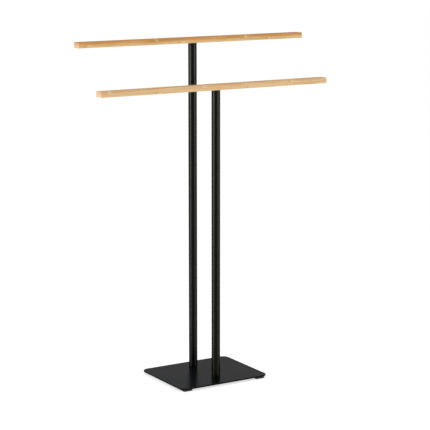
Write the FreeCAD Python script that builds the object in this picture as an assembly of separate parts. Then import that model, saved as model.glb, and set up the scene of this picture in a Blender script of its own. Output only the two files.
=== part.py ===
import FreeCAD, Part
import math
import os

from FreeCAD import Vector

# A free-standing towel stand: two bamboo bars on steel posts that are bolted to a flat base plate.
# The origin is on the floor under the middle of the plate. +X runs along the bars, +Y points to the
# back, where the taller post stands, and +Z is up. Lengths are in millimetres.

# Towel bars
bar_length = 600.0
bar_depth = 24.0
bar_height = 13.0
bar_edge_radius = 1.0
back_bar_top = 800.0
front_bar_top = 700.0

# Posts, round tubes with plain ends
post_spacing = 104.0
post_diameter = 20.0
post_wall = 1.2
post_end_chamfer = 0.3

# Base plate
plate_length = 236.0
plate_width = 194.0
plate_thickness = 3.5
plate_corner_radius = 16.0
plate_edge_radius = 0.6

# Feet, square rubber pads stuck under the corners of the plate
foot_size = 23.0
foot_height = 5.0
foot_side_inset = 8.0
foot_front_inset = 4.0
foot_corner_radius = 3.0
foot_edge_radius = 0.8

# The thread that bolts, studs, plugs and inserts share
thread_diameter = 8.0
thread_clearance = 0.05
thread_chamfer = 0.8

# Threaded plugs in both ends of each post
plug_length = 20.0
plug_recess = 0.5
plug_clearance = 0.05
plug_chamfer = 1.0

# Flat-headed bolts that hold the posts down from under the plate
bolt_head_diameter = 17.0
bolt_head_height = 2.5
bolt_head_chamfer = 0.7
bolt_socket_width = 5.0
bolt_socket_depth = 1.8
bolt_engagement = 14.0
bolt_hole_clearance = 0.5

# Washers between the bolt heads and the plate
washer_diameter = 22.0
washer_thickness = 1.5
washer_chamfer = 0.25

# Studs between the upper plugs and the bars
stud_engagement = 14.0
stud_end_gap = 1.0
stud_socket_width = 4.0
stud_socket_depth = 4.0

# Flanged threaded inserts in the undersides of the bars
insert_wall = 2.0
insert_flange_rim = 1.4
insert_flange_thickness = 1.2
insert_cover = 2.5
insert_clearance = 0.1

# How far cutting tools run past the faces that they open
cut_overrun = 1.0

# The most of a wall that the round of an edge may take up
edge_limit_share = 0.45

# Heights of the stack, from the floor up
plate_bottom = foot_height
plate_top = plate_bottom + plate_thickness
washer_bottom = plate_bottom - washer_thickness
bolt_bottom = washer_bottom - bolt_head_height

# Radii that several pieces share
post_radius = post_diameter / 2
post_bore_radius = post_radius - post_wall
thread_radius = thread_diameter / 2
thread_bore_radius = thread_radius + thread_clearance
bolt_hole_radius = thread_radius + bolt_hole_clearance
insert_radius = thread_bore_radius + insert_wall
insert_flange_radius = insert_radius + insert_flange_rim

# The hole for the insert leaves a cover of bamboo above it, and the insert stops just short of its end
insert_hole_depth = bar_height - insert_cover
insert_length = insert_hole_depth - insert_clearance

# Each post by name: its place along Y and the height of the top of its bar
posts = {
    "back": (post_spacing / 2, back_bar_top),
    "front": (-post_spacing / 2, front_bar_top),
}

full_turn = 360.0
hexagon_sides = 6


def turned(outline, y, z):
    """A closed outline of (radius, height) points, turned about a vertical axis at y and set at z."""
    points = [Vector(radius, 0, height) for radius, height in outline]
    wire = Part.makePolygon(points + points[:1])
    solid = Part.Face(wire).revolve(Vector(), Vector(0, 0, 1), full_turn)
    solid.translate(Vector(0, y, z))
    return solid


def hexagon_tool(width, depth, y, z):
    """A hexagonal cutter, its sides the given width apart, that opens a socket upwards from z."""
    corner_radius = width / math.sqrt(3)
    corners = []
    for step in range(hexagon_sides):
        angle = 2 * math.pi * step / hexagon_sides
        corners.append(Vector(corner_radius * math.cos(angle), corner_radius * math.sin(angle), 0))
    face = Part.Face(Part.makePolygon(corners + corners[:1]))
    face.translate(Vector(0, y, z - cut_overrun))
    return face.extrude(Vector(0, 0, depth + cut_overrun))


def sleeve_outline(outer_radius, inner_radius, length, chamfer):
    """A straight sleeve with its outer rims chamfered."""
    return [
        (inner_radius, 0),
        (outer_radius - chamfer, 0),
        (outer_radius, chamfer),
        (outer_radius, length - chamfer),
        (outer_radius - chamfer, length),
        (inner_radius, length),
    ]


def rounded_block(length, width, height, corner_radius):
    """A block centred on the origin and standing on z = 0, with its upright edges rounded."""
    block = Part.makeBox(length, width, height, Vector(-length / 2, -width / 2, 0))
    upright_edges = [edge for edge in block.Edges if edge.BoundBox.ZLength > height / 2]
    return block.makeFillet(corner_radius, upright_edges)


def base_plate():
    """The flat plate, with a clearance hole for each post's bolt and a light round on its rims."""
    plate = rounded_block(plate_length, plate_width, plate_thickness, plate_corner_radius)
    rim_radius = min(plate_edge_radius, plate_thickness * edge_limit_share)
    rim_edges = [edge for edge in plate.Edges if edge.BoundBox.ZLength < plate_thickness / 2]
    plate = plate.makeFillet(rim_radius, rim_edges)
    plate.translate(Vector(0, 0, plate_bottom))
    hole_length = plate_thickness + 2 * cut_overrun
    for y, _ in posts.values():
        hole_bottom = Vector(0, y, plate_bottom - cut_overrun)
        plate = plate.cut(Part.makeCylinder(bolt_hole_radius, hole_length, hole_bottom))
    return plate


def foot(side_x, side_y):
    """One rubber pad, its lower rim rounded, set in from the two edges of its corner of the plate."""
    pad = rounded_block(foot_size, foot_size, foot_height, foot_corner_radius)
    rim_radius = min(foot_edge_radius, foot_height * edge_limit_share)
    rim_edges = [edge for edge in pad.Edges if edge.BoundBox.ZMax < foot_height / 2]
    pad = pad.makeFillet(rim_radius, rim_edges)
    reach_x = (plate_length - foot_size) / 2 - foot_side_inset
    reach_y = (plate_width - foot_size) / 2 - foot_front_inset
    pad.translate(Vector(side_x * reach_x, side_y * reach_y, 0))
    return pad


def post_tube(y, bar_bottom):
    """The tube between the plate and the underside of its bar."""
    length = bar_bottom - plate_top
    outline = sleeve_outline(post_radius, post_bore_radius, length, post_end_chamfer)
    return turned(outline, y, plate_top)


def plug(y, bottom):
    """A threaded plug that fills the bore of a tube."""
    outer_radius = post_bore_radius - plug_clearance
    outline = sleeve_outline(outer_radius, thread_bore_radius, plug_length, plug_chamfer)
    return turned(outline, y, bottom)


def washer(y):
    """The washer under the plate."""
    outline = sleeve_outline(washer_diameter / 2, bolt_hole_radius, washer_thickness, washer_chamfer)
    return turned(outline, y, washer_bottom)


def base_bolt(y):
    """The bolt, head down, with a hexagon socket in its head."""
    head_radius = bolt_head_diameter / 2
    shank_end = plate_top + plug_recess + bolt_engagement - bolt_bottom
    outline = [
        (0, 0),
        (head_radius - bolt_head_chamfer, 0),
        (head_radius, bolt_head_chamfer),
        (head_radius, bolt_head_height),
        (thread_radius, bolt_head_height),
        (thread_radius, shank_end - thread_chamfer),
        (thread_radius - thread_chamfer, shank_end),
        (0, shank_end),
    ]
    socket = hexagon_tool(bolt_socket_width, bolt_socket_depth, y, bolt_bottom)
    return turned(outline, y, bolt_bottom).cut(socket)


def bar_stud(y, bar_bottom):
    """The headless stud from the upper plug into the bar's insert, with a socket in its lower end."""
    bottom = bar_bottom - plug_recess - stud_engagement
    length = bar_bottom + insert_length - stud_end_gap - bottom
    outline = [
        (0, 0),
        (thread_radius - thread_chamfer, 0),
        (thread_radius, thread_chamfer),
        (thread_radius, length - thread_chamfer),
        (thread_radius - thread_chamfer, length),
        (0, length),
    ]
    socket = hexagon_tool(stud_socket_width, stud_socket_depth, y, bottom)
    return turned(outline, y, bottom).cut(socket)


def bar_insert(y, bar_bottom):
    """The threaded insert, its flange flush with the underside of the bar."""
    outline = [
        (thread_bore_radius, 0),
        (insert_flange_radius, 0),
        (insert_flange_radius, insert_flange_thickness),
        (insert_radius, insert_flange_thickness),
        (insert_radius, insert_length),
        (thread_bore_radius, insert_length),
    ]
    return turned(outline, y, bar_bottom)


def towel_bar(y, bar_bottom):
    """The bamboo bar, its edges eased, with a stepped blind hole for the insert in its underside."""
    corner = Vector(-bar_length / 2, y - bar_depth / 2, bar_bottom)
    bar = Part.makeBox(bar_length, bar_depth, bar_height, corner)
    ease_radius = min(bar_edge_radius, bar_height * edge_limit_share, bar_depth * edge_limit_share)
    bar = bar.makeFillet(ease_radius, bar.Edges)
    flange_hole_radius = insert_flange_radius + insert_clearance
    insert_hole_radius = insert_radius + insert_clearance
    hole_outline = [
        (0, -cut_overrun),
        (flange_hole_radius, -cut_overrun),
        (flange_hole_radius, insert_flange_thickness),
        (insert_hole_radius, insert_flange_thickness),
        (insert_hole_radius, insert_hole_depth),
        (0, insert_hole_depth),
    ]
    return bar.cut(turned(hole_outline, y, bar_bottom))


def stand():
    """Every piece of the stand, by the name of its node."""
    pieces = {"base_plate": base_plate()}
    for row, side_y in (("front", -1), ("back", 1)):
        for column, side_x in (("left", -1), ("right", 1)):
            pieces[f"foot_{row}_{column}"] = foot(side_x, side_y)
    for name, (y, bar_top) in posts.items():
        bar_bottom = bar_top - bar_height
        pieces[f"{name}_post"] = post_tube(y, bar_bottom)
        pieces[f"{name}_post_lower_plug"] = plug(y, plate_top + plug_recess)
        pieces[f"{name}_post_upper_plug"] = plug(y, bar_bottom - plug_recess - plug_length)
        pieces[f"{name}_base_bolt"] = base_bolt(y)
        pieces[f"{name}_base_washer"] = washer(y)
        pieces[f"{name}_bar_stud"] = bar_stud(y, bar_bottom)
        pieces[f"{name}_bar_insert"] = bar_insert(y, bar_bottom)
        pieces[f"{name}_bar"] = towel_bar(y, bar_bottom)
    return pieces


os.makedirs("parts", exist_ok=True)
for node, piece in stand().items():
    piece.exportStep(f"parts/{node}.step")
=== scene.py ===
import math
from typing import NamedTuple

import bmesh
import bpy
from bpy.props import FloatProperty, FloatVectorProperty, PointerProperty
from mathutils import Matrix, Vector


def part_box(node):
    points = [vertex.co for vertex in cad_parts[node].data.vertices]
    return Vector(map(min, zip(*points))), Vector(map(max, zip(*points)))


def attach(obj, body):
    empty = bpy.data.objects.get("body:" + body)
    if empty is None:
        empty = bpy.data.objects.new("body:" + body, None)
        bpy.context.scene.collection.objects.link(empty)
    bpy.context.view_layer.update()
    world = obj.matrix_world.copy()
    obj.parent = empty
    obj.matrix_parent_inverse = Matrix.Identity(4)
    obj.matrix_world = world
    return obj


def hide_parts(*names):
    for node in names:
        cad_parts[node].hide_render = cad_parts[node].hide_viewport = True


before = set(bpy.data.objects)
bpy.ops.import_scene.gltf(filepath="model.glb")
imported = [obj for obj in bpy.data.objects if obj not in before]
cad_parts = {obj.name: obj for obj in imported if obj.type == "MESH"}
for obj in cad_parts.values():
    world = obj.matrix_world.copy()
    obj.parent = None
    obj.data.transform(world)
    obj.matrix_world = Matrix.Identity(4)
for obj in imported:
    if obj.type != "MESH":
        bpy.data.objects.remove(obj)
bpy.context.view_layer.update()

bl_info = {
    "name": "Towel Stand",
    "version": (1, 0, 0),
    "blender": (4, 5, 0),
    "location": "View3D > Sidebar > Towel Stand",
    "description": "Dresses a towel stand of bamboo bars and black steel posts on its exact frame",
    "category": "Object",
}

BODY = "root"
POSTS = ("back", "front")
CORNERS = ("front_left", "front_right", "back_left", "back_right")
MM = 0.001

# The width of the image in pixels, the width that lenses are given for, and how far the camera sees
IMAGE_WIDTH = 430
SENSOR_WIDTH = 36.0
CAMERA_REACH = 200.0

# The width of the floor
FLOOR_SIZE = 80.0

# How finely the round forms are divided
HOLE_STEPS = 48
TUBE_STEPS = 96
TUBE_RIM_STEPS = 2
RIM_STEPS = 4
BAR_EDGE_STEPS = 6
FOOT_CORNER_STEPS = 6
PLATE_CORNER_STEPS = 16
SMOOTH_ANGLE = math.radians(35.0)

# How far from a height an edge may lie and still count as level with it, and how much a flat face looks up
LEVEL_TOLERANCE = 0.01 * MM
FLAT_FACING = 0.5

# How tall the rods are that drill the plate, in thicknesses of the plate
DRILL_REACH = 3


def size_of(node):
    """The length, depth and height of a node of the frame."""
    low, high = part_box(node)
    return Vector(high) - Vector(low)


def centre_of(node):
    """The middle of a node of the frame."""
    low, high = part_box(node)
    return (Vector(high) + Vector(low)) / 2


# Sizes and colours that a user would change


def length(name, description, millimetres):
    """A length of the settings."""
    return FloatProperty(
        name=name, description=description, default=millimetres * MM, min=0.0, unit="LENGTH")


def place_along(name, description, millimetres):
    """A place along a bar, measured from its middle."""
    return FloatProperty(name=name, description=description, default=millimetres * MM, unit="LENGTH")


def angle(name, description, degrees):
    """An angle of the settings."""
    return FloatProperty(
        name=name, description=description, default=math.radians(degrees), subtype="ANGLE")


def colour(name, description, red, green, blue):
    """A colour of the settings."""
    return FloatVectorProperty(
        name=name, description=description, default=(red, green, blue), min=0.0, max=1.0, subtype="COLOR")


def factor(name, description, value):
    """A share between none and all."""
    return FloatProperty(
        name=name, description=description, default=value, min=0.0, max=1.0, subtype="FACTOR")


class BarSettings(bpy.types.PropertyGroup):
    """The bamboo bars."""

    edge_radius: length("Edge radius", "How far the edges of the bars are eased", 1.0)
    hole_radius: length("Insert hole", "Radius of the hole for the insert's barrel", 6.15)
    hole_depth: length("Insert hole depth", "Depth of that hole", 10.5)
    flange_depth: length("Flange seat", "Depth of the seat for the insert's flange", 1.2)
    flange_clearance: length("Flange clearance", "Room round the insert's flange", 0.1)
    back_straw: colour("Back bar, straw", "The pale ground of the back bar's bamboo", 0.735, 0.496, 0.230)
    front_straw: colour("Front bar, straw", "The pale ground of the front bar's bamboo", 0.722, 0.500, 0.266)
    honey: colour("Honey", "The fibre-rich, darker side of the cane", 0.520, 0.230, 0.058)
    knot: colour("Knot", "The thin bands where the cane had its joints", 0.330, 0.150, 0.055)
    cut: colour("Cut", "The cream of the sawn fibres on the ends of the bars", 0.680, 0.520, 0.400)
    back_upper_tone: factor("Back bar, upper layer", "Share of honey in the back bar's upper layer", 0.75)
    back_lower_tone: factor("Back bar, lower layer", "Share of honey in the back bar's lower layer", 0.26)
    front_upper_tone: factor("Front bar, upper layer", "Share of honey in the front bar's upper layer", 0.22)
    front_lower_tone: factor("Front bar, lower layer", "Share of honey in the front bar's lower layer", 0.08)
    knot_spacing: length("Knot spacing", "Distance between the joints of the cane", 240.0)
    back_upper_knot: place_along("Back bar, upper knot", "A joint of the back bar's upper layer", 133.0)
    back_lower_knot: place_along("Back bar, lower knot", "A joint of the back bar's lower layer", 198.0)
    front_upper_knot: place_along("Front bar, upper knot", "A joint of the front bar's upper layer", -45.0)
    front_lower_knot: place_along("Front bar, lower knot", "A joint of the front bar's lower layer", -162.0)
    roughness: factor("Roughness", "How dull the bamboo is", 0.55)
    lacquer: factor("Lacquer", "How much the clear lacquer mirrors", 0.25)
    lacquer_roughness: factor("Lacquer roughness", "How dull the clear lacquer is", 0.4)


class CoatSettings(bpy.types.PropertyGroup):
    """The black steel of the posts and the plate."""

    # Both parts wear one coat: the plate's faint blue and the posts' faint warm tint are painted reflection
    # tints
    plate_black: colour("Plate, black", "The faintly blue black of the plate", 0.0032, 0.0038, 0.0054)
    post_black: colour("Posts, black", "The faintly warm black of the posts", 0.0018, 0.0019, 0.0004)
    shine: factor("Shine", "How much the coat mirrors", 0.212)
    roughness: factor("Roughness", "How dull the coat is", 0.25)
    tube_wall: length("Tube wall", "Wall of the posts", 1.2)
    tube_rim: length("Tube rim", "Chamfer at the ends of the posts", 0.3)
    plate_corner: length("Plate corner", "Round of the corners of the plate", 16.0)
    plate_rim: length("Plate rim", "Round of the rims of the plate", 0.6)
    hole_radius: length("Bolt hole", "Radius of the bolt holes in the plate", 4.5)


class FootSettings(bpy.types.PropertyGroup):
    """The rubber feet."""

    rubber: colour("Rubber", "The colour of the feet", 0.012, 0.012, 0.012)
    roughness: factor("Roughness", "How dull the rubber is", 0.72)
    corner: length("Corner", "Round of the upright edges", 3.0)
    rim: length("Rim", "Round of the lower rim", 0.8)


class FastenerSettings(bpy.types.PropertyGroup):
    """The metals of the bolts, washers, plugs, studs and inserts."""

    zinc: colour("Zinc", "The colour of the zinc plate", 0.60, 0.60, 0.58)
    zinc_roughness: factor("Zinc roughness", "How dull the zinc plate is", 0.34)
    brass: colour("Brass", "The colour of the turned brass", 0.72, 0.50, 0.22)
    brass_roughness: factor("Brass roughness", "How dull the turned brass is", 0.3)


class StageSettings(bpy.types.PropertyGroup):
    """The floor, the lights and the camera."""

    azimuth: angle("Azimuth", "Turn of the camera from the front", -31.5)
    elevation: angle("Elevation", "Tilt of the camera above the level", 10.65)
    distance: length("Distance", "From the camera to its target", 3775.0)
    target: FloatVectorProperty(
        name="Target", description="The point that the camera looks at", subtype="TRANSLATION",
        default=(0.0296, 0.0, 0.3857))
    focal_pixels: FloatProperty(
        name="Focal length", description="Focal length in pixels of the image", default=1608.0)
    sky: factor("Sky", "Strength of the even light from all round", 0.75)
    floor: colour("Floor", "The colour of the floor", 0.88, 0.88, 0.88)
    shade: factor("Shade", "How much of the light and shadow on the floor is seen", 0.55)
    lift: factor("Lift", "White added to the floor where it is seen itself", 0.65)


class StandSettings(bpy.types.PropertyGroup):
    """Everything that the panel shows."""

    bars: PointerProperty(type=BarSettings, name="Bars", description="The bamboo bars")
    coat: PointerProperty(type=CoatSettings, name="Coat", description="The black steel of posts and plate")
    feet: PointerProperty(type=FootSettings, name="Feet", description="The rubber feet")
    fasteners: PointerProperty(type=FastenerSettings, name="Fasteners", description="The hidden metal")
    stage: PointerProperty(type=StageSettings, name="Stage", description="The floor, lights and camera")


# Shader sums


class Wire:
    """A socket of a material that takes part in Python sums: each operator adds its Math node."""

    def __init__(self, tree, socket=None):
        self.tree = tree
        self.socket = socket

    def node(self, kind, settings=None, inputs=None, output=0):
        """A new node of this kind: its settings are made first, and then its sockets are set or linked."""
        node = self.tree.nodes.new(kind)
        for name, value in (settings or {}).items():
            setattr(node, name, value)
        for name, value in (inputs or {}).items():
            if isinstance(value, Wire):
                self.tree.links.new(value.socket, node.inputs[name])
            else:
                node.inputs[name].default_value = value
        return Wire(self.tree, node.outputs[output] if node.outputs else None)

    def output(self, name):
        """Another output of the same node."""
        return Wire(self.tree, self.socket.node.outputs[name])

    def math(self, operation, *values):
        """The result of a Math node."""
        return self.node("ShaderNodeMath", {"operation": operation}, dict(enumerate(values)))

    def __add__(self, other):
        return self.math("ADD", self, other)

    __radd__ = __add__

    def __sub__(self, other):
        return self.math("SUBTRACT", self, other)

    def __rsub__(self, other):
        return self.math("SUBTRACT", other, self)

    def __mul__(self, other):
        return self.math("MULTIPLY", self, other)

    __rmul__ = __mul__

    def __mod__(self, other):
        return self.math("FLOORED_MODULO", self, other)

    def __abs__(self):
        return self.math("ABSOLUTE", self)

    def rise(self, low, high):
        """0 up to low, 1 from high on and a smooth rise between."""
        settings = {"interpolation_type": "SMOOTHSTEP"}
        return self.node("ShaderNodeMapRange", settings, {"Value": self, "From Min": low, "From Max": high})

    def swing(self):
        """A value from 0 to 1 as it swings about its middle."""
        return self - 0.5

    def axes(self):
        """The three values of a vector."""
        split = self.node("ShaderNodeSeparateXYZ", None, {"Vector": self})
        return [split.output(axis) for axis in "XYZ"]

    def vector(self, x, y, z):
        """Three values as one vector."""
        return self.node("ShaderNodeCombineXYZ", None, {"X": x, "Y": y, "Z": z})

    def coordinates(self, kind):
        """The texture coordinates of this kind."""
        return self.node("ShaderNodeTexCoord", output=kind)

    def noise(self, place, scale=1.0, detail=2.0, roughness=0.5):
        """Noise from about 0 to 1."""
        inputs = {"Vector": place, "Scale": scale, "Detail": detail, "Roughness": roughness}
        return self.node("ShaderNodeTexNoise", None, inputs)

    def cells(self, place):
        """Distance from the middles of scattered cells, from 0 to about 0.7."""
        return self.node("ShaderNodeTexVoronoi", None, {"Vector": place, "Scale": 1.0})

    def mix(self, share, first, second):
        """The first colour turning into the second."""
        return self.node("ShaderNodeMix", {"data_type": "RGBA"}, {0: share, 6: first, 7: second}, 2)

    def bump(self, height, strength, depth):
        """A relief on the surface."""
        return self.node("ShaderNodeBump", None, {"Strength": strength, "Distance": depth, "Height": height})


def rgba(rgb, share=1.0):
    """A colour as a socket takes it, made darker or paler by a share."""
    return (rgb[0] * share, rgb[1] * share, rgb[2] * share, 1.0)


def new_finish(name):
    """A new material and the empty sheet that its nodes go on."""
    material = bpy.data.materials.new(name)
    material.use_nodes = True
    material.node_tree.nodes.clear()
    return material, Wire(material.node_tree)


def close_finish(sheet, inputs):
    """The shader of a sheet, and its output."""
    surface = sheet.node("ShaderNodeBsdfPrincipled", None, inputs)
    sheet.node("ShaderNodeOutputMaterial", None, {"Surface": surface})


# Powder coat: the share of the orange peel in its relief, and how much shade and shine change
PEEL_SHARE = 0.7
COAT_CLOUDS = (0.3, 0.7)
COAT_SHADES = (0.85, 1.15)
COAT_SLOW_SHINE = 0.2
COAT_FINE_SHINE = 1.6

# Powder coat: the dullness of the black under its clear top, how that changes, and the top's density
UNDER_ROUGHNESS = 0.6
UNDER_ROUGHNESS_CHANGE = 0.1
COAT_IOR = 1.4

# Powder coat: strength and depth of the relief
PEEL_STRENGTH = 0.4
PEEL_DEPTH = 0.02 * MM


def black_coat(name, coat, black):
    """Satin black powder coat: a faint orange peel, with slow changes of shade and shine."""
    material, sheet = new_finish(name)
    place = sheet.coordinates("Object")
    peel = sheet.noise(place, scale=700.0, detail=1.0)
    grain = sheet.noise(place, scale=3200.0, detail=1.0)
    cloud = sheet.noise(place, scale=16.0, detail=3.0)
    # The black carries its part's painted reflection tint; the clouds between dark and pale are the coat's
    # own random tone
    dark, pale = (rgba(black, shade) for shade in COAT_SHADES)
    relief = peel * PEEL_SHARE + grain * (1.0 - PEEL_SHARE)
    shine = 1.0 + cloud.swing() * COAT_SLOW_SHINE + relief.swing() * COAT_FINE_SHINE
    close_finish(sheet, {
        "Base Color": sheet.mix(cloud.rise(*COAT_CLOUDS), dark, pale),
        "Roughness": UNDER_ROUGHNESS + (cloud.swing() + grain.swing()) * UNDER_ROUGHNESS_CHANGE,
        "Specular IOR Level": 0.0,
        "Coat Weight": coat.shine * shine,
        "Coat Roughness": coat.roughness,
        "Coat IOR": COAT_IOR,
        "Normal": sheet.bump(relief, PEEL_STRENGTH, PEEL_DEPTH),
    })
    return material


class Layer(NamedTuple):
    """A layer of a bar: its share of honey, and where a joint of the cane lies along it."""

    tone: float
    knot: float


class Pattern(NamedTuple):
    """A pattern in the cane: its repeats in a metre, its swerve at joints and its shift between layers."""

    along: float
    across: float
    up: float
    swerve_across: float = 0.0
    swerve_up: float = 0.0
    shift: float = 0.0


SLOW_SHADES = Pattern(11.0, 110.0, 230.0, swerve_up=2.0, shift=3.0)
FIBRES = Pattern(14.0, 620.0, 620.0, swerve_across=5.0, swerve_up=5.0)
THREADS = Pattern(26.0, 2300.0, 2300.0, swerve_up=9.0)
STRANDS = Pattern(3.0, 780.0, 780.0, swerve_across=6.0, swerve_up=6.0)

# Bamboo: how the line of a joint wanders, across and up, from layer to layer and how far
WANDER_ACROSS = 130.0
WANDER_UP = 200.0
WANDER_SHIFT = 5.0
WANDER_REACH = 4.0 * MM

# Bamboo: where a joint's band and halo fade, its paler side begins, a layer ends and the glue shows
KNOT_BAND = (0.4 * MM, 2.6 * MM)
KNOT_HALO = (0.0, 24.0 * MM)
KNOT_PALE_SIDE = (0.0, 4.0 * MM)
LAYER_EDGE = (-0.1 * MM, 0.1 * MM)
GLUE_LINE = (0.05 * MM, 0.15 * MM)

# Bamboo: the values of each pattern between which it begins to show and shows in full
END_FACING = (0.6, 0.95)
STREAK_RANGE = (0.36, 0.66)
BUNDLE_RANGE = (0.05, 0.26)
SPECK_RANGE = (0.58, 0.72)
SPECK_RISE = (-0.3, 1.0)
HONEY_RANGE = (-0.1, 1.1)

# Bamboo: how the fibres change to the outside of the cane and on the ends of a bar
BUNDLE_GROWTH = 0.12
BUNDLE_LEAST = 0.45
END_STREAK = 0.25
END_STREAK_LOSS = 0.6
END_BUNDLE_GAIN = 0.8
KNOT_LEAST = 0.35

# Bamboo: how much each pattern adds to the share of honey
OUTER_HONEY = 0.3
SLOW_HONEY = 1.3
STREAK_HONEY = 0.5
PALE_SIDE_HONEY = -0.45

# Bamboo: how much each pattern darkens the colour, how dark the fibres are and how pale the ends
SPECK_DARK = 0.3
BUNDLE_DARK = 0.42
KNOT_DARK = 0.42
GLUE_DARK = 0.3
FIBRE_SHADE = 0.6
END_PALE = 0.3

# Bamboo: how deep each pattern lies under the fibres, with the relief's strength and depth
SPECK_DIP = 0.4
BUNDLE_DIP = 0.3
GLUE_DIP = 0.5
KNOT_DIP = 0.3
FIBRE_STRENGTH = 0.3
FIBRE_DEPTH = 0.06 * MM

# Bamboo: how the streaks change dullness and lacquer, and the lacquer's density
STREAK_ROUGHNESS = 0.12
STREAK_LACQUER = 0.1
LACQUER_IOR = 1.45


def bamboo(name, bars, straw, centre, ply, upper, lower):
    """Bamboo of two layers: long fibres, denser to the top of each layer, with the cane's joints."""
    material, sheet = new_finish(name)
    place = sheet.coordinates("Object")
    x, y, z = sheet.node("ShaderNodeMapping", None, {"Vector": place, "Location": -centre}).axes()

    above = z.rise(*LAYER_EDGE)
    along = x - lower.knot - above * (upper.knot - lower.knot)
    wander = sheet.noise(sheet.vector(above * WANDER_SHIFT, y * WANDER_ACROSS, z * WANDER_UP)).swing()
    half_spacing = bars.knot_spacing / 2
    from_knot = (along + wander * WANDER_REACH + half_spacing) % bars.knot_spacing - half_spacing
    knot_band = 1.0 - abs(from_knot).rise(*KNOT_BAND)
    knot_halo = 1.0 - abs(from_knot).rise(*KNOT_HALO)
    pale_side = knot_halo * from_knot.rise(*KNOT_PALE_SIDE)
    swerve = knot_halo * knot_halo * wander

    def within(pattern):
        """The place in a pattern."""
        return sheet.vector(
            along * pattern.along + above * pattern.shift,
            y * pattern.across + swerve * pattern.swerve_across,
            z * pattern.up + swerve * pattern.swerve_up)

    slow = sheet.noise(within(SLOW_SHADES))
    fibre = sheet.noise(within(FIBRES), detail=3.0, roughness=0.62)
    thread = sheet.noise(within(THREADS), detail=1.0)
    strand = sheet.cells(within(STRANDS))

    end = abs(sheet.coordinates("Normal").axes()[0]).rise(*END_FACING)
    outer = (z + ply) * (1.0 / ply) - above
    streak = fibre.rise(*STREAK_RANGE) * (1.0 - end * END_STREAK_LOSS) + end * END_STREAK
    bundle_density = (BUNDLE_LEAST + outer * (1.0 - BUNDLE_LEAST)) * (1.0 + end * END_BUNDLE_GAIN)
    bundle = (1.0 - (strand - outer * BUNDLE_GROWTH).rise(*BUNDLE_RANGE)) * bundle_density
    speck = thread.rise(*SPECK_RANGE) * outer.rise(*SPECK_RISE)
    knot_line = knot_band * (KNOT_LEAST + streak * (1.0 - KNOT_LEAST))
    glue = 1.0 - abs(z).rise(*GLUE_LINE)

    tone = lower.tone + above * (upper.tone - lower.tone)
    shading = outer.swing() * OUTER_HONEY + slow.swing() * SLOW_HONEY + streak.swing() * STREAK_HONEY
    share = tone + shading + pale_side * PALE_SIDE_HONEY
    ground = sheet.mix(share.rise(*HONEY_RANGE), rgba(straw), rgba(bars.honey))
    fibrous = sheet.mix(speck * SPECK_DARK + bundle * BUNDLE_DARK, ground, rgba(bars.honey, FIBRE_SHADE))
    jointed = sheet.mix(knot_line * KNOT_DARK, fibrous, rgba(bars.knot))
    glued = sheet.mix(glue * GLUE_DARK, jointed, rgba(bars.knot))
    relief = fibre - speck * SPECK_DIP - bundle * BUNDLE_DIP - glue * GLUE_DIP - knot_line * KNOT_DIP
    close_finish(sheet, {
        "Base Color": sheet.mix(end * END_PALE, glued, rgba(bars.cut)),
        "Roughness": bars.roughness + streak.swing() * STREAK_ROUGHNESS,
        "Specular IOR Level": 0.0,
        "Coat Weight": bars.lacquer + streak.swing() * STREAK_LACQUER,
        "Coat Roughness": bars.lacquer_roughness,
        "Coat IOR": LACQUER_IOR,
        "Normal": sheet.bump(relief, FIBRE_STRENGTH, FIBRE_DEPTH),
    })
    return material


# Rubber: where dust shows, how pale it is, how dullness changes, and the strength and depth of the grain
DUST_RANGE = (0.35, 0.75)
DUST_SHADE = 1.8
RUBBER_ROUGHNESS_CHANGE = 0.2
RUBBER_STRENGTH = 0.4
RUBBER_DEPTH = 0.08 * MM


def black_rubber(feet):
    """Dull black rubber with a fine moulded grain."""
    material, sheet = new_finish("black_rubber")
    place = sheet.coordinates("Object")
    grain = sheet.noise(place, scale=1800.0)
    dust = sheet.noise(place, scale=120.0, detail=3.0)
    close_finish(sheet, {
        "Base Color": sheet.mix(dust.rise(*DUST_RANGE), rgba(feet.rubber), rgba(feet.rubber, DUST_SHADE)),
        "Roughness": feet.roughness + grain.swing() * RUBBER_ROUGHNESS_CHANGE,
        "Normal": sheet.bump(grain, RUBBER_STRENGTH, RUBBER_DEPTH),
    })
    return material


# Metal: its clouds and shades, how dullness changes, and the repeats, strength and depth of the tool's marks
METAL_CLOUDS = (0.3, 0.7)
METAL_SHADES = (0.85, 1.1)
METAL_ROUGHNESS_CHANGE = 0.2
TURNING_SCALE = 9000.0
TURNING_STRENGTH = 0.25
TURNING_DEPTH = 0.02 * MM


def plated_metal(name, rgb, roughness):
    """Plated or turned metal with fine marks from the tool and slow changes of shine."""
    material, sheet = new_finish(name)
    place = sheet.coordinates("Object")
    cloud = sheet.noise(place, scale=220.0, detail=3.0)
    marks = sheet.noise(sheet.vector(0.0, 0.0, place.axes()[2] * TURNING_SCALE))
    dark, pale = (rgba(rgb, shade) for shade in METAL_SHADES)
    close_finish(sheet, {
        "Base Color": sheet.mix(cloud.rise(*METAL_CLOUDS), dark, pale),
        "Metallic": 1.0,
        "Roughness": roughness + cloud.swing() * METAL_ROUGHNESS_CHANGE,
        "Normal": sheet.bump(marks, TURNING_STRENGTH, TURNING_DEPTH),
    })
    return material


# Modelling steps


def add_block(name, centre, size):
    """A block at its place and size, alone selected, with its object at the origin."""
    bpy.ops.object.select_all(action="DESELECT")
    bpy.ops.mesh.primitive_cube_add(size=1.0, location=centre)
    return settle(name, size)


def add_rod(name, centre, radius, height, steps):
    """An upright rod at its place and size, alone selected, with its object at the origin."""
    bpy.ops.object.select_all(action="DESELECT")
    bpy.ops.mesh.primitive_cylinder_add(vertices=steps, radius=radius, depth=height, location=centre)
    return settle(name, (1.0, 1.0, 1.0))


def settle(name, size):
    """Names the new object and puts its place and size into its mesh."""
    piece = bpy.context.object
    piece.name = name
    piece.data.name = name
    piece.scale = size
    bpy.ops.object.transform_apply(location=True, rotation=True, scale=True)
    return piece


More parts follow.
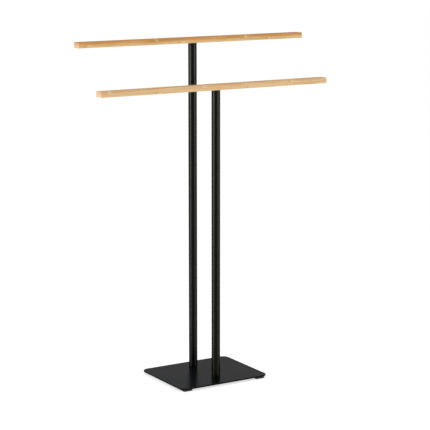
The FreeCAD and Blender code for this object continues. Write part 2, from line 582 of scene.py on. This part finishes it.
def pick(piece, kind, wanted):
    """In edit mode, selects the edges or faces that the test wants."""
    bpy.ops.mesh.select_mode(type=kind)
    bpy.ops.mesh.select_all(action="DESELECT")
    mesh = bmesh.from_edit_mesh(piece.data)
    parts = mesh.edges if kind == "EDGE" else mesh.faces
    picked = [part for part in parts if wanted(part)]
    if not picked:
        raise RuntimeError(f"{piece.name} has nothing to shape here")
    for part in picked:
        part.select_set(True)
    bmesh.update_edit_mesh(piece.data)


def bevel(piece, wanted, width, steps):
    """In edit mode, rounds the edges that the test wants."""
    pick(piece, "EDGE", wanted)
    bpy.ops.mesh.bevel(offset=width, segments=steps, affect="EDGES")


def any_edge(edge):
    """A test that every edge passes."""
    return True


def upright(edge):
    """Whether an edge stands upright."""
    start, end = (corner.co for corner in edge.verts)
    return abs(start.z - end.z) > max(abs(start.x - end.x), abs(start.y - end.y))


def flat(face):
    """Whether a face lies level."""
    return abs(face.normal.z) > FLAT_FACING


def level_at(height):
    """A test for edges that lie at a height."""
    return lambda edge: all(abs(corner.co.z - height) < LEVEL_TOLERANCE for corner in edge.verts)


def outer_rim_at(height, middle, radius):
    """A test for edges that lie at a height and outside a radius from a middle."""
    level = level_at(height)
    return lambda edge: level(edge) and all((corner.co - middle).xy.length > radius for corner in edge.verts)


def cut_rods(piece, rods):
    """Cuts rods out of a piece, and removes them."""
    for rod in rods:
        faces_before = len(piece.data.polygons)
        modifier = piece.modifiers.new("cut", "BOOLEAN")
        modifier.operation = "DIFFERENCE"
        modifier.object = rod
        bpy.context.view_layer.objects.active = piece
        bpy.ops.object.modifier_apply(modifier=modifier.name)
        bpy.data.objects.remove(rod, do_unlink=True)
        if len(piece.data.polygons) <= faces_before:
            raise RuntimeError(f"{piece.name} was not cut")


def finish_piece(piece, node, material):
    """Smooths a piece's round faces, keeps its large ones even, dresses it and lets it stand for its node."""
    bpy.ops.object.select_all(action="DESELECT")
    piece.select_set(True)
    bpy.context.view_layer.objects.active = piece
    bpy.ops.object.shade_smooth_by_angle(angle=SMOOTH_ANGLE)
    modifier = piece.modifiers.new("even_normals", "WEIGHTED_NORMAL")
    modifier.keep_sharp = True
    bpy.ops.object.modifier_apply(modifier=modifier.name)
    piece.data.materials.clear()
    piece.data.materials.append(material)
    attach(piece, BODY)
    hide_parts(node)


# Operators


class TOWELSTAND_OT_plate(bpy.types.Operator):
    """The base plate, with rounded corners, soft rims and its bolt holes."""

    bl_idname = "towelstand.plate"
    bl_label = "Base plate"

    def execute(self, context):
        coat = context.scene.towel_stand.coat
        size = size_of("base_plate")
        centre = centre_of("base_plate")
        plate = add_block("plate", centre, size)
        bpy.ops.object.mode_set(mode="EDIT")
        bevel(plate, upright, coat.plate_corner, PLATE_CORNER_STEPS)
        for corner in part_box("base_plate"):
            bevel(plate, level_at(corner[2]), coat.plate_rim, RIM_STEPS)
        bpy.ops.object.mode_set(mode="OBJECT")
        rods = []
        for post in POSTS:
            middle = centre_of(f"{post}_post")
            middle.z = centre.z
            rods.append(add_rod("hole", middle, coat.hole_radius, DRILL_REACH * size.z, HOLE_STEPS))
        cut_rods(plate, rods)
        material = black_coat("plate_coat", coat, coat.plate_black)
        finish_piece(plate, "base_plate", material)
        return {"FINISHED"}


class TOWELSTAND_OT_feet(bpy.types.Operator):
    """The four rubber feet: one is modelled, and the others are copies at their corners."""

    bl_idname = "towelstand.feet"
    bl_label = "Feet"

    def execute(self, context):
        feet = context.scene.towel_stand.feet
        rubber = black_rubber(feet)
        first = f"foot_{CORNERS[0]}"
        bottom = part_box(first)[0][2]
        foot = add_block(f"pad_{CORNERS[0]}", centre_of(first), size_of(first))
        bpy.ops.object.mode_set(mode="EDIT")
        bevel(foot, upright, feet.corner, FOOT_CORNER_STEPS)
        bevel(foot, level_at(bottom), feet.rim, RIM_STEPS)
        bpy.ops.object.mode_set(mode="OBJECT")
        copies = {first: foot}
        for corner in CORNERS[1:]:
            copy = foot.copy()
            copy.data = foot.data.copy()
            copy.name = f"pad_{corner}"
            context.collection.objects.link(copy)
            bpy.ops.object.select_all(action="DESELECT")
            copy.select_set(True)
            bpy.ops.transform.translate(value=centre_of(f"foot_{corner}") - centre_of(first))
            bpy.ops.object.transform_apply(location=True, rotation=True, scale=True)
            copies[f"foot_{corner}"] = copy
        for node, copy in copies.items():
            finish_piece(copy, node, rubber)
        return {"FINISHED"}


class TOWELSTAND_OT_posts(bpy.types.Operator):
    """The two posts, as open tubes with chamfered ends."""

    bl_idname = "towelstand.posts"
    bl_label = "Posts"

    def execute(self, context):
        coat = context.scene.towel_stand.coat
        material = black_coat("post_coat", coat, coat.post_black)
        for post in POSTS:
            node = f"{post}_post"
            size = size_of(node)
            middle = centre_of(node)
            tube = add_rod(f"{post}_tube", middle, size.x / 2, size.z, TUBE_STEPS)
            bpy.ops.object.mode_set(mode="EDIT")
            pick(tube, "FACE", flat)
            bpy.ops.mesh.inset(thickness=coat.tube_wall)
            bpy.ops.mesh.bridge_edge_loops()
            mid_wall = size.x / 2 - coat.tube_wall / 2
            for end in (middle.z - size.z / 2, middle.z + size.z / 2):
                bevel(tube, outer_rim_at(end, middle, mid_wall), coat.tube_rim, TUBE_RIM_STEPS)
            bpy.ops.mesh.select_all(action="SELECT")
            bpy.ops.mesh.normals_make_consistent(inside=False)
            bpy.ops.object.mode_set(mode="OBJECT")
            finish_piece(tube, node, material)
        return {"FINISHED"}


class TOWELSTAND_OT_bars(bpy.types.Operator):
    """The two bamboo bars, with their edges eased."""

    bl_idname = "towelstand.bars"
    bl_label = "Bars"

    def execute(self, context):
        bars = context.scene.towel_stand.bars
        for post in POSTS:
            node = f"{post}_bar"
            size = size_of(node)
            middle = centre_of(node)
            bar = add_block(f"{post}_bamboo", middle, size)
            bpy.ops.object.mode_set(mode="EDIT")
            bevel(bar, any_edge, bars.edge_radius, BAR_EDGE_STEPS)
            bpy.ops.object.mode_set(mode="OBJECT")
            underside = middle - Vector((0.0, 0.0, size.z / 2))
            flange_radius = size_of(f"{post}_bar_insert").x / 2 + bars.flange_clearance
            cut_rods(bar, [
                add_rod("hole", underside, bars.hole_radius, 2 * bars.hole_depth, HOLE_STEPS),
                add_rod("seat", underside, flange_radius, 2 * bars.flange_depth, HOLE_STEPS),
            ])
            straw = getattr(bars, f"{post}_straw")
            upper, lower = (
                Layer(getattr(bars, f"{post}_{side}_tone"), getattr(bars, f"{post}_{side}_knot"))
                for side in ("upper", "lower"))
            material = bamboo(f"{post}_bamboo", bars, straw, middle, size.z / 2, upper, lower)
            finish_piece(bar, node, material)
        return {"FINISHED"}


class TOWELSTAND_OT_fasteners(bpy.types.Operator):
    """The bolts, washers, plugs, studs and inserts, which keep their exact shapes and get their metal."""

    bl_idname = "towelstand.fasteners"
    bl_label = "Fasteners"

    def execute(self, context):
        fasteners = context.scene.towel_stand.fasteners
        zinc = plated_metal("zinc_plate", fasteners.zinc, fasteners.zinc_roughness)
        brass = plated_metal("turned_brass", fasteners.brass, fasteners.brass_roughness)
        metals = {
            "post_lower_plug": zinc,
            "post_upper_plug": zinc,
            "base_bolt": zinc,
            "base_washer": zinc,
            "bar_stud": zinc,
            "bar_insert": brass,
        }
        for post in POSTS:
            for piece, metal in metals.items():
                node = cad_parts[f"{post}_{piece}"]
                node.data.materials.clear()
                node.data.materials.append(metal)
        return {"FINISHED"}


class Softbox(NamedTuple):
    """A soft light: its turn from the camera and tilt in degrees, and its place and size in metres."""

    name: str
    turn: float
    distance: float
    height: float
    tilt: float
    size: tuple
    radiance: float


class Strip(NamedTuple):
    """A light as tall as a post, which only that post mirrors: a line to its foot if near, fading if far."""

    name: str
    turn: float
    distance: float
    tilt: float
    width: float
    radiance: float


LIGHTS = (
    Softbox("left_light", turn=-48.0, distance=1.6, height=0.62, tilt=0.0, size=(0.96, 1.2), radiance=2.7),
    Softbox("right_light", turn=66.0, distance=1.6, height=0.62, tilt=0.0, size=(0.9, 1.2), radiance=1.6),
    Softbox("front_light", turn=-8.0, distance=1.87, height=1.67, tilt=32.0, size=(1.6, 1.2), radiance=0.68),
)
STRIPS = (
    Strip("left_near_strip", turn=-51.6, distance=0.025, tilt=0.0, width=0.008, radiance=2.0),
    Strip("left_far_strip", turn=-61.8, distance=0.15, tilt=12.0, width=0.058, radiance=3.6),
    Strip("right_near_strip", turn=51.6, distance=0.025, tilt=0.0, width=0.008, radiance=1.2),
    Strip("right_far_strip", turn=61.8, distance=0.15, tilt=12.0, width=0.058, radiance=2.2),
)

# How far the narrow lights fan out
STRIP_SPREAD = math.radians(100.0)


def add_light(name, middle, azimuth, distance, tilt, size, radiance):
    """An even light on a level circle round a point, facing inwards and tilted down."""
    data = bpy.data.lights.new(name, "AREA")
    data.shape = "RECTANGLE"
    data.size, data.size_y = size
    data.energy = radiance * math.pi * size[0] * size[1]
    light = bpy.data.objects.new(name, data)
    bpy.context.collection.objects.link(light)
    light.location = Vector(middle) + Vector((math.sin(azimuth), -math.cos(azimuth), 0.0)) * distance
    light.rotation_euler = (math.radians(90.0 - tilt), 0.0, azimuth)
    light.visible_camera = False
    return light


def add_lights(stage):
    """The soft lights round the stand, and the narrow ones beside its posts."""
    for box in LIGHTS:
        azimuth = stage.azimuth + math.radians(box.turn)
        middle = (0.0, 0.0, box.height)
        add_light(box.name, middle, azimuth, box.distance, box.tilt, box.size, box.radiance)
    for post in POSTS:
        shining = bpy.data.collections.new(f"{post}_shine")
        shining.objects.link(bpy.data.objects[f"{post}_tube"])
        middle = centre_of(f"{post}_post")
        height = size_of(f"{post}_post").z
        for strip in STRIPS:
            name = f"{post}_{strip.name}"
            azimuth = stage.azimuth + math.radians(strip.turn)
            light = add_light(
                name, middle, azimuth, strip.distance, strip.tilt, (strip.width, height), strip.radiance)
            light.data.spread = STRIP_SPREAD
            light.visible_diffuse = False
            light.light_linking.receiver_collection = shining


def seen_directly(sheet):
    """1 for what the camera sees itself, in a mirror or through glass, and 0 for the light on the stand."""
    path = sheet.node("ShaderNodeLightPath")
    return path.output("Is Camera Ray") + path.output("Is Glossy Ray") + path.output("Is Transmission Ray")


def add_floor(stage):
    """The pale floor, which keeps the stand's shadow and hides nothing from below."""
    bpy.ops.object.select_all(action="DESELECT")
    bpy.ops.mesh.primitive_plane_add(size=FLOOR_SIZE)
    floor = bpy.context.object
    floor.name = "floor"
    material, sheet = new_finish("floor")
    seen = seen_directly(sheet)
    pale = sheet.mix(seen, rgba(stage.floor), rgba(stage.floor, stage.shade))
    matt = sheet.node("ShaderNodeBsdfDiffuse", None, {"Color": pale})
    glow = sheet.node("ShaderNodeEmission", None, {"Strength": seen * stage.lift})
    lit = sheet.node("ShaderNodeAddShader", None, {0: matt, 1: glow})
    below = sheet.node("ShaderNodeNewGeometry", output="Backfacing")
    clear = sheet.node("ShaderNodeBsdfTransparent")
    one_sided = sheet.node("ShaderNodeMixShader", None, {0: below, 1: lit, 2: clear})
    sheet.node("ShaderNodeOutputMaterial", None, {"Surface": one_sided})
    floor.data.materials.append(material)


def add_sky(scene, stage):
    """The even light from all round, seen itself as white."""
    world = bpy.data.worlds.new("studio")
    scene.world = world
    world.use_nodes = True
    world.node_tree.nodes.clear()
    sheet = Wire(world.node_tree)
    strength = stage.sky + seen_directly(sheet) * (1.0 - stage.sky)
    white = rgba((1.0, 1.0, 1.0))
    light = sheet.node("ShaderNodeBackground", None, {"Color": white, "Strength": strength})
    sheet.node("ShaderNodeOutputWorld", None, {"Surface": light})


def add_camera(scene, stage):
    """The camera, turned to its target."""
    back = Vector((
        math.sin(stage.azimuth) * math.cos(stage.elevation),
        -math.cos(stage.azimuth) * math.cos(stage.elevation),
        math.sin(stage.elevation)))
    lens = bpy.data.cameras.new("camera")
    lens.sensor_width = SENSOR_WIDTH
    lens.lens = stage.focal_pixels / IMAGE_WIDTH * SENSOR_WIDTH
    lens.clip_end = CAMERA_REACH
    camera = bpy.data.objects.new("camera", lens)
    bpy.context.collection.objects.link(camera)
    camera.location = Vector(stage.target) + back * stage.distance
    camera.rotation_euler = back.to_track_quat("Z", "Y").to_euler()
    scene.camera = camera


class TOWELSTAND_OT_stage(bpy.types.Operator):
    """The pale floor, the soft lights and the camera."""

    bl_idname = "towelstand.stage"
    bl_label = "Stage"

    def execute(self, context):
        scene = context.scene
        stage = scene.towel_stand.stage
        scene.view_settings.view_transform = "Standard"
        add_floor(stage)
        add_sky(scene, stage)
        add_lights(stage)
        add_camera(scene, stage)
        return {"FINISHED"}


class TOWELSTAND_PT_panel(bpy.types.Panel):
    """The settings and steps of the towel stand."""

    bl_idname = "TOWELSTAND_PT_panel"
    bl_label = "Towel Stand"
    bl_space_type = "VIEW_3D"
    bl_region_type = "UI"
    bl_category = "Towel Stand"

    def draw(self, context):
        stand = context.scene.towel_stand
        for group in StandSettings.__annotations__:
            values = getattr(stand, group)
            box = self.layout.box()
            for name in type(values).__annotations__:
                box.prop(values, name)
        for step in STEPS:
            self.layout.operator(step.bl_idname)


SETTINGS = (BarSettings, CoatSettings, FootSettings, FastenerSettings, StageSettings, StandSettings)
STEPS = (
    TOWELSTAND_OT_plate,
    TOWELSTAND_OT_feet,
    TOWELSTAND_OT_posts,
    TOWELSTAND_OT_bars,
    TOWELSTAND_OT_fasteners,
    TOWELSTAND_OT_stage,
)
CLASSES = SETTINGS + STEPS + (TOWELSTAND_PT_panel,)


def register():
    """Makes the settings, the steps and the panel known."""
    for kind in CLASSES:
        bpy.utils.register_class(kind)
    bpy.types.Scene.towel_stand = PointerProperty(
        type=StandSettings, name="Towel stand", description="The sizes and colours of the towel stand")


def unregister():
    """Takes them away again."""
    del bpy.types.Scene.towel_stand
    for kind in reversed(CLASSES):
        bpy.utils.unregister_class(kind)


def main():
    """Registers the classes, and makes every piece and the stage."""
    register()
    bpy.ops.towelstand.plate()
    bpy.ops.towelstand.feet()
    bpy.ops.towelstand.posts()
    bpy.ops.towelstand.bars()
    bpy.ops.towelstand.fasteners()
    bpy.ops.towelstand.stage()


if __name__ == "__main__":
    main()
